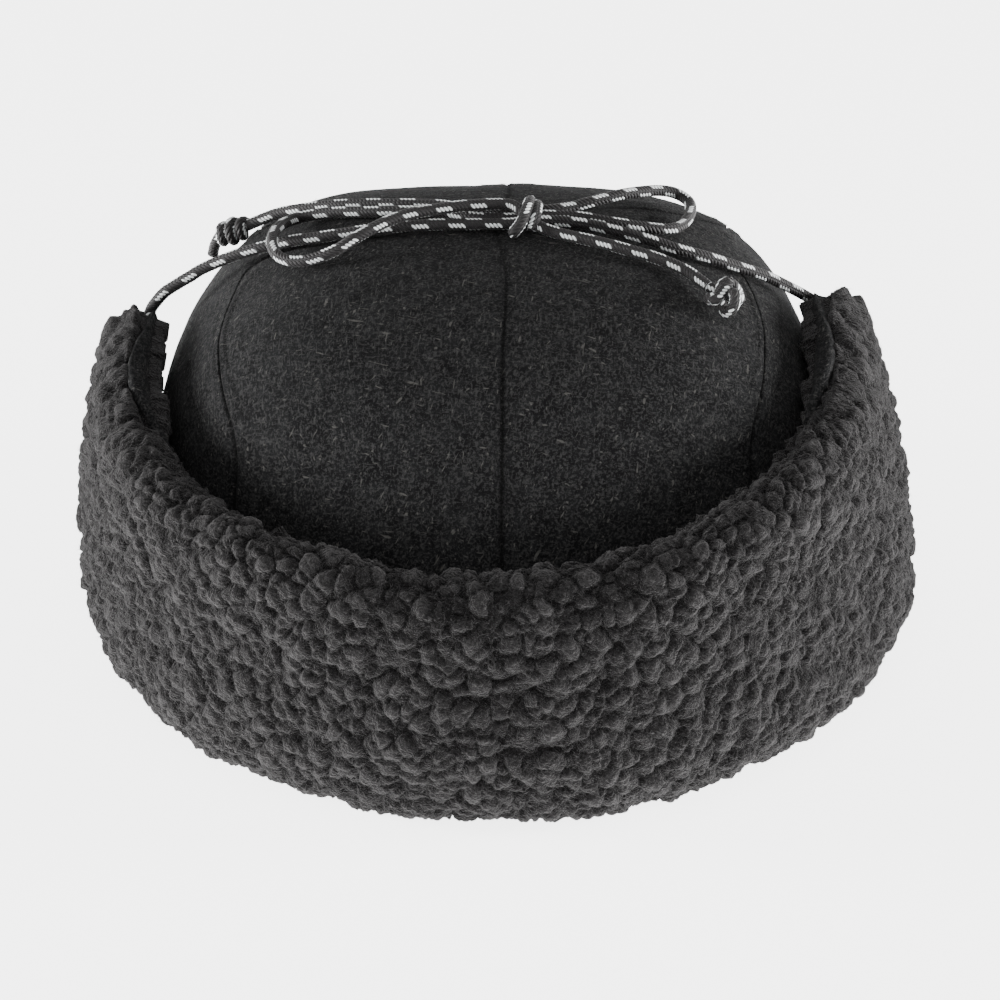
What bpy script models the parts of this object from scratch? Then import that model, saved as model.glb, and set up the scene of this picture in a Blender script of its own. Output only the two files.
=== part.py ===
# Wool earflap cap: six-panel crown, short peak, and a pile-lined ear and nape flap that is folded up
# and tied over the crown with its own cords. Metres, +Z up. The cap rests on its fold, its back
# towards -Y, its front towards +Y, and +X is the wearer's right.
import math

import bmesh
import bpy
from mathutils import Vector

# Crown
CROWN_HALF_WIDTH = 0.092
CROWN_REACH = 0.102
CROWN_HEIGHT = 0.097
CROWN_WALL = 0.0025
HEM_HEIGHT = 0.012
APEX_FORWARD = 0.006
APEX_SIDE = -0.0015
SEAM_VALLEY = 0.0008
SIDE_FULLNESS = 2.8
BACK_FULLNESS = 2.4
FRONT_FULLNESS = 2.2
HEM_SQUARENESS = 1.95
SHOULDER_SQUARENESS = 3.6

# Flap
FLAP_FACING = 0.002
FLAP_PILE = 0.0145
FLAP_BELLY = 0.0015
PILE_WAIST = 1.3
FLAP_TOP_ROUND = 0.011
FLAP_HEIGHT = 0.086
FOOT_UNDER_HEM = 0.006
FOOT_ROLL = 0.002
FOOT_FLAT = 0.0068
FOOT_ROUND = 0.025
FACING_TOP_SETBACK = 0.006
LEFT_LEAN = 0.008
RIGHT_LEAN = 0.0135

# Peak
PEAK_LENGTH = 0.062
PEAK_HALF_ANGLE = 50.0
PEAK_HALF_WIDTH = 0.076
PEAK_THICKNESS = 0.0035
PEAK_CROWN_OVERLAP = 0.0022
PEAK_RISE = 0.003
PEAK_SIDE_DROP = 0.006

# Cords
CORD_DIAMETER = 0.003
CORD_POINT_SPACING = 0.0088
KNOT_WIDTH = 0.0092
KNOT_DEPTH = 0.0158
KNOT_THICKNESS = 0.0062
KNOT_ROUND = 0.0022
END_KNOT_LENGTH = 0.0098
END_KNOT_WIDTH = 0.0082
END_TAIL_LENGTH = 0.007

# Clearance between pieces that meet
SEAT_GAP = 0.0003
CROWN_CLEARANCE = 0.0009

CROWN_COLUMNS = 72
CROWN_ROWS = 18
FLAP_STATIONS = 52
FACING_STEPS = 5
PEAK_COLUMNS = 20
PEAK_ROWS = 5

# Back side seams: height up the crown as a share of CROWN_HEIGHT, angle from the back in degrees
SEAM_COURSE = [
    {"height": 0.00, "angle": 46.0},
    {"height": 0.60, "angle": 46.0},
    {"height": 0.73, "angle": 49.0},
    {"height": 0.79, "angle": 60.0},
    {"height": 0.85, "angle": 74.0},
    {"height": 0.93, "angle": 72.0},
    {"height": 1.00, "angle": 66.0},
]

# Flap along its length: angle from the back in degrees (wearer's left is negative), height as a share
# of FLAP_HEIGHT, lean as a share of the lean of that side's tip
FLAP_COURSE = [
    {"angle": -126.0, "height": 0.26, "lean": 0.0},
    {"angle": -119.0, "height": 0.38, "lean": 0.2},
    {"angle": -112.0, "height": 0.58, "lean": 0.6},
    {"angle": -105.0, "height": 0.78, "lean": 0.9},
    {"angle": -98.0, "height": 0.91, "lean": 1.0},
    {"angle": -90.0, "height": 0.97, "lean": 1.0},
    {"angle": -78.0, "height": 0.95, "lean": 0.8},
    {"angle": -62.0, "height": 0.90, "lean": 0.6},
    {"angle": -45.0, "height": 0.85, "lean": 0.4},
    {"angle": -22.0, "height": 0.80, "lean": 0.3},
    {"angle": 0.0, "height": 0.76, "lean": 0.3},
    {"angle": 22.0, "height": 0.83, "lean": 0.3},
    {"angle": 45.0, "height": 0.93, "lean": 0.5},
    {"angle": 62.0, "height": 0.97, "lean": 0.8},
    {"angle": 78.0, "height": 1.00, "lean": 1.0},
    {"angle": 90.0, "height": 1.02, "lean": 1.0},
    {"angle": 98.0, "height": 0.97, "lean": 1.0},
    {"angle": 105.0, "height": 0.83, "lean": 0.9},
    {"angle": 112.0, "height": 0.60, "lean": 0.6},
    {"angle": 119.0, "height": 0.38, "lean": 0.2},
    {"angle": 126.0, "height": 0.26, "lean": 0.0},
]

# Cord routes over the crown, in millimetres from the middle of the crown on the surface below it.
# The flap's tip or the bow knot is at one end of each, and a knot is at the other.
LEFT_STANDING = [
    (-89.7, 14.0, 81.2), (-87.9, 13.5, 84.0), (-85.7, 13.0, 86.6), (-82.2, 12.5, 89.2), (-78.8, 12.0, 91.5),
    (-75.6, 11.5, 93.8), (-68.2, 9.5, 97.9), (-63.7, 8.2, 100.0), (-57.8, 6.8, 102.2), (-51.5, 4.6, 104.5),
    (-46.0, 2.0, 106.3), (-39.6, 0.6, 107.9), (-28.7, 0.0, 109.8), (-19.4, 0.0, 110.6), (-11.6, 0.0, 110.8),
    (1.4, 0.0, 110.9),
]
LEFT_LOOP = [
    (1.4, 3.4, 110.9), (-6.0, 4.2, 110.9), (-14.0, 7.8, 110.8), (-25.9, 10.2, 110.1), (-32.1, 11.7, 109.3),
    (-41.1, 15.7, 107.5), (-47.5, 18.4, 105.7), (-52.1, 18.2, 104.7), (-54.7, 14.1, 105.2), (-56.6, 6.9, 106.3),
    (-57.1, -1.3, 106.4), (-56.0, -6.2, 105.6), (-53.6, -9.2, 105.1), (-50.0, -11.3, 105.4),
    (-45.4, -12.5, 106.9), (-40.1, -12.8, 109.4), (-34.9, -10.5, 112.0), (-28.5, -5.4, 113.5),
    (-22.0, -1.2, 114.2), (-11.6, 2.6, 114.4), (-6.0, 4.2, 114.3), (1.4, 5.0, 114.2),
]
RIGHT_END = [
    (1.4, 6.8, 110.9), (-6.0, 8.2, 110.9), (-14.0, 12.4, 110.8), (-26.0, 15.3, 110.0), (-39.0, 20.2, 107.8),
    (-46.9, 24.4, 105.4), (-51.9, 27.0, 103.6), (-56.5, 29.8, 101.6), (-61.3, 31.5, 99.1), (-65.6, 32.6, 96.8),
]
RIGHT_STANDING = [
    (81.1, 13.5, 84.3), (79.8, 13.0, 85.1), (76.5, 11.5, 87.6), (71.1, 8.0, 91.9), (66.9, 5.0, 95.0),
    (62.4, 2.5, 97.6), (53.2, -1.8, 102.5), (45.0, -3.5, 105.6), (37.0, -2.4, 107.9), (28.7, -0.2, 109.4),
    (20.4, 1.8, 110.4), (11.2, 2.2, 110.9),
]
RIGHT_LOOP = [
    (11.2, 9.0, 110.9), (14.5, 9.6, 110.9), (19.6, 12.1, 110.7), (24.5, 14.4, 111.2), (31.2, 18.8, 111.1),
    (37.8, 24.4, 109.8), (42.9, 28.6, 108.2), (46.6, 29.4, 106.9), (49.4, 26.8, 105.8),
    (49.6, 21.4, 105.3), (48.0, 14.7, 105.3), (45.3, 9.2, 105.9), (41.3, 6.2, 106.9), (35.5, 4.6, 108.3),
    (29.0, 4.2, 109.5), (20.0, 5.6, 110.5), (11.2, 5.6, 110.9),
]
LEFT_END = [
    (11.2, -2.6, 110.9), (16.5, -6.0, 110.5), (24.8, -8.7, 109.7), (32.2, -11.1, 108.6), (39.9, -12.8, 106.9),
    (46.6, -15.2, 104.8), (50.4, -19.0, 103.6), (52.6, -21.7, 102.9),
]

# Knots, in millimetres as above: the middle of the bow knot, of the end knots, and where their tails point
BOW_KNOT = (6.3, 3.2, 112.4)
LEFT_END_KNOT = (56.4, -26.2, 102.1)
LEFT_END_TAIL = (4.0, 9.0, 1.0)
RIGHT_END_KNOT = (-70.4, 33.9, 94.2)
RIGHT_END_TAIL = (-3.0, -5.0, -5.0)


def clear_scene():
    for item in list(bpy.data.objects):
        bpy.data.objects.remove(item, do_unlink=True)


def material(name, color, roughness):
    made = bpy.data.materials.new(name)
    made.use_nodes = True
    shader = made.node_tree.nodes["Principled BSDF"]
    shader.inputs["Base Color"].default_value = (*color, 1.0)
    shader.inputs["Roughness"].default_value = roughness
    shader.inputs["Metallic"].default_value = 0.0
    return made


def crown_setback():
    """How far the crown's middle lies behind the middle of the whole cap, peak and flap included."""
    return (PEAK_LENGTH - flap_reach()) / 2


def add_object(name, data, finish):
    made = bpy.data.objects.new(name, data)
    bpy.context.scene.collection.objects.link(made)
    made.location = (0.0, -crown_setback(), 0.0)
    data.materials.append(finish)
    return made


def finish_mesh(name, shape, finish):
    bmesh.ops.recalc_face_normals(shape, faces=shape.faces)
    data = bpy.data.meshes.new(name)
    shape.to_mesh(data)
    shape.free()
    data.shade_smooth()
    return add_object(name, data, finish)


def along(table, key, place, column):
    """Value of a table's column at a place, on a smooth curve through its rows."""
    rows = [(row[key], row[column]) for row in table]
    place = min(max(place, rows[0][0]), rows[-1][0])
    index = next(i for i in range(len(rows) - 1) if place <= rows[i + 1][0])
    (start, low), (stop, high) = rows[index], rows[index + 1]
    before = rows[max(index - 1, 0)]
    after = rows[min(index + 2, len(rows) - 1)]
    leaving = (high - before[1]) / (stop - before[0]) * (stop - start)
    arriving = (after[1] - low) / (after[0] - start) * (stop - start)
    t = (place - start) / (stop - start)
    value = low * (2 * t**3 - 3 * t**2 + 1) + high * (3 * t**2 - 2 * t**3)
    return value + leaving * (t**3 - 2 * t**2 + t) + arriving * (t**3 - t**2)


def signed_power(value, power):
    return math.copysign(abs(value) ** power, value)


def outline(angle, half_width, reach, squareness):
    """Point of a rounded plan outline, the angle counted from the back in radians."""
    across = half_width * signed_power(math.sin(angle), 2 / squareness)
    forward = -reach * signed_power(math.cos(angle), 2 / squareness)
    return across, forward


def crown_share(height):
    return min(max((height - HEM_HEIGHT) / CROWN_HEIGHT, 0.0), 1.0)


def crown_shrink(height, fullness):
    return (1 - crown_share(height) ** fullness) ** (1 / fullness)


def squareness_at(height):
    return HEM_SQUARENESS + (SHOULDER_SQUARENESS - HEM_SQUARENESS) * crown_share(height) ** 3


def top_shift(height):
    """The crown leans a little forward and to one side towards its top, and the flap follows it."""
    return Vector((APEX_SIDE, APEX_FORWARD, 0.0)) * crown_share(height)


def crown_point(angle, height, outward=0.0):
    """Point on the crown's outer face, at an angle from the back and a height over the surface."""
    fullness = BACK_FULLNESS if math.cos(angle) > 0 else FRONT_FULLNESS
    half_width = CROWN_HALF_WIDTH * crown_shrink(height, SIDE_FULLNESS) + outward
    reach = CROWN_REACH * crown_shrink(height, fullness) + outward
    across, forward = outline(angle, half_width, reach, squareness_at(height))
    return Vector((across, forward, height)) + top_shift(height)


def panel_angle(column, share):
    """Angle of a mesh column, so that every twelfth column follows a seam."""
    back_seam = math.radians(along(SEAM_COURSE, "height", share, "angle"))
    hem_seam = math.radians(SEAM_COURSE[0]["angle"])
    front_seam = math.pi - hem_seam - (back_seam - hem_seam) / 3
    corners = [0.0, back_seam, front_seam, math.pi]
    per_panel = CROWN_COLUMNS // 6
    half = CROWN_COLUMNS // 2
    side = 1 if column <= half else -1
    step = column if column <= half else CROWN_COLUMNS - column
    panel = min(step // per_panel, 2)
    part = (step - panel * per_panel) / per_panel
    return side * (corners[panel] + (corners[panel + 1] - corners[panel]) * part)


def build_crown(finish):
    shape = bmesh.new()
    bmesh.ops.create_uvsphere(shape, u_segments=CROWN_COLUMNS, v_segments=2 * CROWN_ROWS, radius=1.0)
    below = [vertex for vertex in shape.verts if vertex.co.z < -0.001]
    bmesh.ops.delete(shape, geom=below, context="VERTS")
    turn = 2 * math.pi / CROWN_COLUMNS
    for vertex in shape.verts:
        rise = min(max(vertex.co.z, 0.0), 1.0)
        share = math.sin(math.asin(rise)) ** (2 / SIDE_FULLNESS)
        column = round(math.atan2(vertex.co.x, -vertex.co.y) / turn) % CROWN_COLUMNS
        on_seam = column % (CROWN_COLUMNS // 6) == 0 and rise < 0.999
        height = HEM_HEIGHT + CROWN_HEIGHT * share
        sink = -SEAM_VALLEY if on_seam else 0.0
        if rise < 0.999:
            vertex.co = crown_point(panel_angle(column, share), height, sink)
        else:
            vertex.co = Vector((0.0, 0.0, height)) + top_shift(height)
    made = finish_mesh("crown", shape, finish)
    wall = made.modifiers.new("wall", "SOLIDIFY")
    wall.thickness = CROWN_WALL
    wall.offset = -1.0
    wall.use_even_offset = True
    return made


def face_offset(share, lean):
    """How far the flap's inner face stands outside the hem's outline, at a share of its height."""
    return SEAT_GAP + 4 * FLAP_BELLY * share * (1 - share) - lean * share * share


def flap_lean(angle):
    tip = LEFT_LEAN if angle < 0 else RIGHT_LEAN
    return tip * along(FLAP_COURSE, "angle", math.degrees(angle), "lean")


def flap_top(angle):
    return FLAP_HEIGHT * along(FLAP_COURSE, "angle", math.degrees(angle), "height")


def flap_point(angle, depth, height):
    """Point of the flap at a depth outside its inner face, which leans in but stays off the crown."""
    share = min(max(height - HEM_HEIGHT, 0.0) / (flap_top(angle) - HEM_HEIGHT), 1.0)
    lean = flap_lean(angle)
    offset = face_offset(share, lean)
    in_pile = max(depth - FLAP_FACING - SEAT_GAP, 0.0) / (FLAP_PILE - SEAT_GAP)
    depth -= lean * (share**PILE_WAIST - share**2) * in_pile
    fullness = BACK_FULLNESS if math.cos(angle) > 0 else FRONT_FULLNESS
    beside = CROWN_HALF_WIDTH * crown_shrink(height, SIDE_FULLNESS) + CROWN_CLEARANCE
    behind = CROWN_REACH * crown_shrink(height, fullness) + CROWN_CLEARANCE
    half_width = max(CROWN_HALF_WIDTH + offset, beside) + depth
    reach = max(CROWN_REACH + offset, behind) + depth
    across, forward = outline(angle, half_width, reach, squareness_at(height))
    return Vector((across, forward, height)) + top_shift(height)


def facing_section(angle):
    """Section of the flap's wool facing: up its inner face, over its top edge and down the outer one."""
    top = flap_top(angle) - FACING_TOP_SETBACK
    heights = [HEM_HEIGHT + (top - HEM_HEIGHT) * step / FACING_STEPS for step in range(FACING_STEPS + 1)]
    inner = [(0.0, height) for height in heights]
    outer = [(FLAP_FACING, height) for height in reversed(heights)]
    return inner + outer


def pile_section(angle):
    """Section of the pile: foot under the hem, up round the outside, over the top, down the facing."""
    top = flap_top(angle)
    full = top - HEM_HEIGHT
    thick = FLAP_FACING + FLAP_PILE
    rounding = min(FLAP_TOP_ROUND, 0.45 * full)
    foot_start = FOOT_ROLL - FOOT_UNDER_HEM
    points = [
        (-FOOT_UNDER_HEM, HEM_HEIGHT - SEAT_GAP),
        (-FOOT_UNDER_HEM - FOOT_ROLL / 2, 0.6 * HEM_HEIGHT),
        (-FOOT_UNDER_HEM, 0.2 * HEM_HEIGHT),
        (foot_start, 0.0),
        (foot_start + FOOT_FLAT, 0.0),
    ]
    for step in range(1, 5):
        turn = math.radians(90) * step / 4
        rise = FOOT_ROUND * (1 - math.cos(turn))
        points.append((foot_start + FOOT_FLAT + (thick - foot_start - FOOT_FLAT) * math.sin(turn), rise))
    crest = top - rounding
    for step in range(1, 4):
        points.append((thick, FOOT_ROUND + (crest - FOOT_ROUND) * step / 4))
    for step in range(0, 6):
        turn = math.radians(180) * step / 6
        points.append((thick / 2 + thick / 2 * math.cos(turn), crest + rounding * math.sin(turn)))
    facing_top = top - FACING_TOP_SETBACK
    points.append((0.0, facing_top + SEAT_GAP))
    for step in range(FACING_STEPS, -1, -1):
        height = HEM_HEIGHT + (facing_top - HEM_HEIGHT) * step / FACING_STEPS
        if step == FACING_STEPS:
            height += SEAT_GAP
        if step == 0:
            height -= SEAT_GAP
        points.append((FLAP_FACING + SEAT_GAP, height))
    return points


def loft(name, sections, finish):
    """Closed solid through closed sections that have the same number of points."""
    shape = bmesh.new()
    loops = []
    for section in sections:
        ring = [shape.verts.new(point) for point in section]
        loops.append([shape.edges.new((ring[i - 1], ring[i])) for i in range(len(ring))])
    for first, second in zip(loops, loops[1:]):
        bmesh.ops.bridge_loops(shape, edges=first + second)
    for edges in (loops[0], loops[-1]):
        bmesh.ops.contextual_create(shape, geom=edges)
    bmesh.ops.triangulate(shape, faces=[face for face in shape.faces if len(face.verts) > 4])
    return finish_mesh(name, shape, finish)


def flap_reach():
    """How far the flap stands out behind the crown's hem, where it bulges most."""
    edge = [-flap_point(0.0, outward, height).y for outward, height in pile_section(0.0)]
    return max(edge) - CROWN_REACH


def flap_angles():
    first = math.radians(FLAP_COURSE[0]["angle"])
    last = math.radians(FLAP_COURSE[-1]["angle"])
    return [first + (last - first) * i / FLAP_STATIONS for i in range(FLAP_STATIONS + 1)]


def build_flap(name, section, finish):
    sections = []
    for angle in flap_angles():
        sections.append([flap_point(angle, outward, height) for outward, height in section(angle)])
    return loft(name, sections, finish)


def build_peak(finish):
    shape = bmesh.new()
    bmesh.ops.create_grid(shape, x_segments=PEAK_COLUMNS, y_segments=PEAK_ROWS, size=1.0)
    underside = HEM_HEIGHT - SEAT_GAP - PEAK_THICKNESS / 2
    for vertex in shape.verts:
        side = vertex.co.x
        out = (vertex.co.y + 1) / 2
        angle = math.pi - math.radians(PEAK_HALF_ANGLE) * side
        across, forward = outline(
            angle, CROWN_HALF_WIDTH - PEAK_CROWN_OVERLAP, CROWN_REACH - PEAK_CROWN_OVERLAP, HEM_SQUARENESS
        )
        inner = Vector((across, forward, underside))
        sweep = math.radians(80) * side
        corner = -outline(math.radians(PEAK_HALF_ANGLE), CROWN_HALF_WIDTH, CROWN_REACH, HEM_SQUARENESS)[1]
        tip = CROWN_REACH + PEAK_LENGTH - corner
        edge_height = underside + PEAK_RISE * math.cos(sweep) - PEAK_SIDE_DROP * math.sin(sweep) ** 2
        edge = Vector((PEAK_HALF_WIDTH * math.sin(sweep), corner + tip * math.cos(sweep) ** 0.9, edge_height))
        vertex.co = inner.lerp(edge, out)
    made = finish_mesh("peak", shape, finish)
    board = made.modifiers.new("board", "SOLIDIFY")
    board.thickness = PEAK_THICKNESS
    board.offset = 0.0
    return made


def smooth_route(route, spacing):
    """Points about a spacing apart on a smooth curve through the route's own points."""
    chosen = [Vector(point) / 1000 for point in route]
    ends = [2 * chosen[0] - chosen[1]] + chosen + [2 * chosen[-1] - chosen[-2]]
    fine = []
    for i in range(1, len(ends) - 2):
        before, start, stop, after = ends[i - 1 : i + 3]
        for step in range(16):
            t = step / 16
            fine.append(
                0.5 * (2 * start + (stop - before) * t + (2 * before - 5 * start + 4 * stop - after) * t**2
                + (3 * start - before - 3 * stop + after) * t**3)
            )
    fine.append(chosen[-1])
    lengths = [0.0]
    for first, second in zip(fine, fine[1:]):
        lengths.append(lengths[-1] + (second - first).length)
    count = max(2, round(lengths[-1] / spacing))
    picked = []
    index = 0
    for i in range(count + 1):
        wanted = lengths[-1] * i / count
        while index < len(fine) - 2 and lengths[index + 1] < wanted:
            index += 1
        share = (wanted - lengths[index]) / (lengths[index + 1] - lengths[index])
        picked.append(fine[index].lerp(fine[index + 1], share))
    return picked


def build_cord(name, route, finish):
    data = bpy.data.curves.new(name, "CURVE")
    data.dimensions = "3D"
    data.bevel_depth = CORD_DIAMETER / 2
    data.bevel_resolution = 2
    data.use_fill_caps = True
    points = smooth_route(route, CORD_POINT_SPACING)
    spline = data.splines.new("POLY")
    spline.points.add(len(points) - 1)
    for place, point in zip(spline.points, points):
        place.co = (*point, 1.0)
    return add_object(name, data, finish)


def build_bow_knot(finish):
    shape = bmesh.new()
    bmesh.ops.create_cube(shape, size=1.0)
    bmesh.ops.scale(shape, vec=(KNOT_WIDTH, KNOT_DEPTH, KNOT_THICKNESS), verts=shape.verts)
    bmesh.ops.bevel(
        shape, geom=shape.edges, offset=KNOT_ROUND, segments=3, profile=0.5, affect="EDGES", material=-1
    )
    bmesh.ops.translate(shape, vec=Vector(BOW_KNOT) / 1000, verts=shape.verts)
    return finish_mesh("bow_knot", shape, finish)


def build_end_knot(name, middle, tail, finish):
    """Overhand knot: a ball with the cord's short tail drawn out of one side."""
    shape = bmesh.new()
    bmesh.ops.create_uvsphere(shape, u_segments=14, v_segments=10, radius=END_KNOT_WIDTH / 2)
    direction = Vector(tail).normalized()
    axis = direction.to_track_quat("Z", "Y").to_matrix()
    for vertex in shape.verts:
        vertex.co.z *= END_KNOT_LENGTH / END_KNOT_WIDTH
        if vertex.co.z > 0.3 * END_KNOT_LENGTH:
            vertex.co.x *= 0.55
            vertex.co.y *= 0.55
            vertex.co.z += END_TAIL_LENGTH - END_KNOT_LENGTH / 2
    bmesh.ops.rotate(shape, cent=(0, 0, 0), matrix=axis, verts=shape.verts)
    bmesh.ops.translate(shape, vec=Vector(middle) / 1000, verts=shape.verts)
    return finish_mesh(name, shape, finish)


def main():
    clear_scene()
    melange = material("melange_wool", (0.035, 0.035, 0.037), 0.95)
    pile = material("curly_pile", (0.085, 0.082, 0.080), 0.97)
    braid = material("flecked_braid", (0.030, 0.024, 0.026), 0.75)
    build_crown(melange)
    build_flap("flap_facing", facing_section, melange)
    build_flap("flap_pile", pile_section, pile)
    build_peak(melange)
    build_cord("tie_left_standing", LEFT_STANDING, braid)
    build_cord("tie_left_loop", LEFT_LOOP, braid)
    build_cord("tie_left_end", LEFT_END, braid)
    build_cord("tie_right_standing", RIGHT_STANDING, braid)
    build_cord("tie_right_loop", RIGHT_LOOP, braid)
    build_cord("tie_right_end", RIGHT_END, braid)
    build_bow_knot(braid)
    build_end_knot("end_knot_left", LEFT_END_KNOT, LEFT_END_TAIL, braid)
    build_end_knot("end_knot_right", RIGHT_END_KNOT, RIGHT_END_TAIL, braid)


main()
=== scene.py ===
import math
import random

import bmesh
import bpy
from mathutils import Matrix, Vector, noise


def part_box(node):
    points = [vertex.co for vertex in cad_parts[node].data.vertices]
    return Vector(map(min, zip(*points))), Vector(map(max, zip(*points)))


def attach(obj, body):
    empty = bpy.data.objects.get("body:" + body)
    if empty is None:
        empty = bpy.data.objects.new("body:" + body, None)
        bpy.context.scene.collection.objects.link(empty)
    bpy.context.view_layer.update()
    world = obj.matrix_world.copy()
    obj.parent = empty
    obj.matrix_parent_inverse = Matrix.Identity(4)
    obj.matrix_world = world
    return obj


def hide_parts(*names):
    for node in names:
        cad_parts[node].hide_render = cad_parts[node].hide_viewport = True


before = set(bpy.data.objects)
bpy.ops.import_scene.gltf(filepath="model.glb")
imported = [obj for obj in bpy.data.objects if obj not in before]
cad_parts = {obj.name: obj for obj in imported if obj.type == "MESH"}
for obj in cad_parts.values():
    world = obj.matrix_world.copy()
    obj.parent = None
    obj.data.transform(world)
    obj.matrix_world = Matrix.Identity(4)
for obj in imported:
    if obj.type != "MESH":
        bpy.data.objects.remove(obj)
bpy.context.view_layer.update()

noise.seed_set(11)  # the same curls at each run

# The cap faces +Y and is seen from behind. Everything is measured from the middle of the crown.
cap = {
    "halfWidth": 0.092, "reach": 0.102, "height": 0.097, "wall": 0.0025, "hem": 0.012,
    "forward": 0.006, "aside": -0.0015, "sideFullness": 2.8, "backFullness": 2.4, "frontFullness": 2.2,
    "hemSquareness": 1.95, "shoulderSquareness": 3.6, "peakLength": 0.062,
}
# One cord serves both ties: pitch is the length of a stitch, rows the number of stitches round it.
cord = {"diameter": 0.003, "pitch": 0.00103, "rows": 4, "slant": 0.75, "pathStep": 0.0025}
middle = Vector((0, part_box("peak")[1].y - cap["reach"] - cap["peakLength"], 0))


# Shapes shared by several pieces.

def powered(value, power):
    return math.copysign(abs(value) ** power, value)


def alongTable(rows, place):
    # smooth value at a place, through rows of (place, value)
    place = min(max(place, rows[0][0]), rows[-1][0])
    i = next(k for k in range(len(rows) - 1) if place <= rows[k + 1][0])
    (start, low), (stop, high) = rows[i], rows[i + 1]
    before, after = rows[max(i - 1, 0)], rows[min(i + 2, len(rows) - 1)]
    leaving = (high - before[1]) / (stop - before[0]) * (stop - start)
    arriving = (after[1] - low) / (after[0] - start) * (stop - start)
    t = (place - start) / (stop - start)
    value = low * (2 * t**3 - 3 * t**2 + 1) + high * (3 * t**2 - 2 * t**3)
    return value + leaving * (t**3 - 2 * t**2 + t) + arriving * (t**3 - t**2)


def crownShare(height):
    return min(max((height - cap["hem"]) / cap["height"], 0), 1)


def shrinkAt(height, fullness):
    return max(1 - crownShare(height) ** fullness, 0) ** (1 / fullness)


def squarenessAt(height):
    return cap["hemSquareness"] + (cap["shoulderSquareness"] - cap["hemSquareness"]) * crownShare(height) ** 3


def planPoint(angle, halfWidth, reach, squareness):
    # angle 0 is the back, positive towards the wearer's right
    return Vector((halfWidth * powered(math.sin(angle), 2 / squareness),
                   -reach * powered(math.cos(angle), 2 / squareness), 0))


def topShift(height):
    return Vector((cap["aside"], cap["forward"], 0)) * crownShare(height)


def crownPoint(angle, height):
    fullness = cap["backFullness"] if math.cos(angle) > 0 else cap["frontFullness"]
    halfWidth = cap["halfWidth"] * shrinkAt(height, cap["sideFullness"])
    reach = cap["reach"] * shrinkAt(height, fullness)
    return middle + planPoint(angle, halfWidth, reach, squarenessAt(height)) + topShift(height) + Vector((0, 0, height))


def smoothRoute(points, spacing):
    # evenly spaced points on a smooth curve through the given ones
    ends = [2 * points[0] - points[1]] + points + [2 * points[-1] - points[-2]]
    fine = []
    for i in range(1, len(ends) - 2):
        a, b, c, d = ends[i - 1:i + 3]
        for k in range(12):
            t = k / 12
            bent = (2 * a - 5 * b + 4 * c - d) * t**2 + (3 * b - a - 3 * c + d) * t**3
            fine.append(0.5 * (2 * b + (c - a) * t + bent))
    fine.append(points[-1])
    lengths = [0.0]
    for a, b in zip(fine, fine[1:]):
        lengths.append(lengths[-1] + (b - a).length)
    count = max(2, round(lengths[-1] / spacing))
    picked, at = [], 0
    for i in range(count + 1):
        wanted = lengths[-1] * i / count
        while at < len(fine) - 2 and lengths[at + 1] < wanted:
            at += 1
        picked.append(fine[at].lerp(fine[at + 1], (wanted - lengths[at]) / (lengths[at + 1] - lengths[at])))
    return picked


def routeLength(points):
    return sum((b - a).length for a, b in zip(points, points[1:]))


def finishPiece(name, shape, finish, nodes=(), recalc=True):
    # bmesh to a smooth object that rides on the cap and stands for its nodes
    if recalc:
        bmesh.ops.recalc_face_normals(shape, faces=shape.faces)
    mesh = bpy.data.meshes.new(name)
    shape.to_mesh(mesh)
    shape.free()
    mesh.shade_smooth()
    return adopt(bpy.data.objects.new(name, mesh), finish, nodes)


def adopt(piece, finish, nodes=()):
    bpy.context.scene.collection.objects.link(piece)
    piece.data.materials.append(finish)
    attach(piece, "root")
    if nodes:
        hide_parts(*nodes)
    return piece


# Camera.

def addCamera():
    view = {"elevation": 28, "distance": 1.1, "lens": 149.8, "across": -2 / 4162, "raised": 112 / 4162}
    turn = math.radians(view["elevation"])
    ahead = Vector((0, math.cos(turn), -math.sin(turn)))
    upward = Vector((0, math.sin(turn), math.cos(turn)))
    camera = bpy.data.objects.new("camera", bpy.data.cameras.new("camera"))
    camera.data.lens = view["lens"]
    camera.data.sensor_width = 36
    camera.data.clip_start = 0.01
    camera.location = middle - ahead * view["distance"]
    aim = ahead + upward * view["raised"] - Vector((1, 0, 0)) * view["across"]
    camera.rotation_euler = aim.to_track_quat("-Z", "Y").to_euler()
    bpy.context.scene.collection.objects.link(camera)
    bpy.context.scene.camera = camera


# Materials.

def newMaterial(name, slotName):
    made = bpy.data.materials.new(name)
    made.use_nodes = True
    made["slot"] = slotName
    return made, made.node_tree.nodes["Principled BSDF"]


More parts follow.
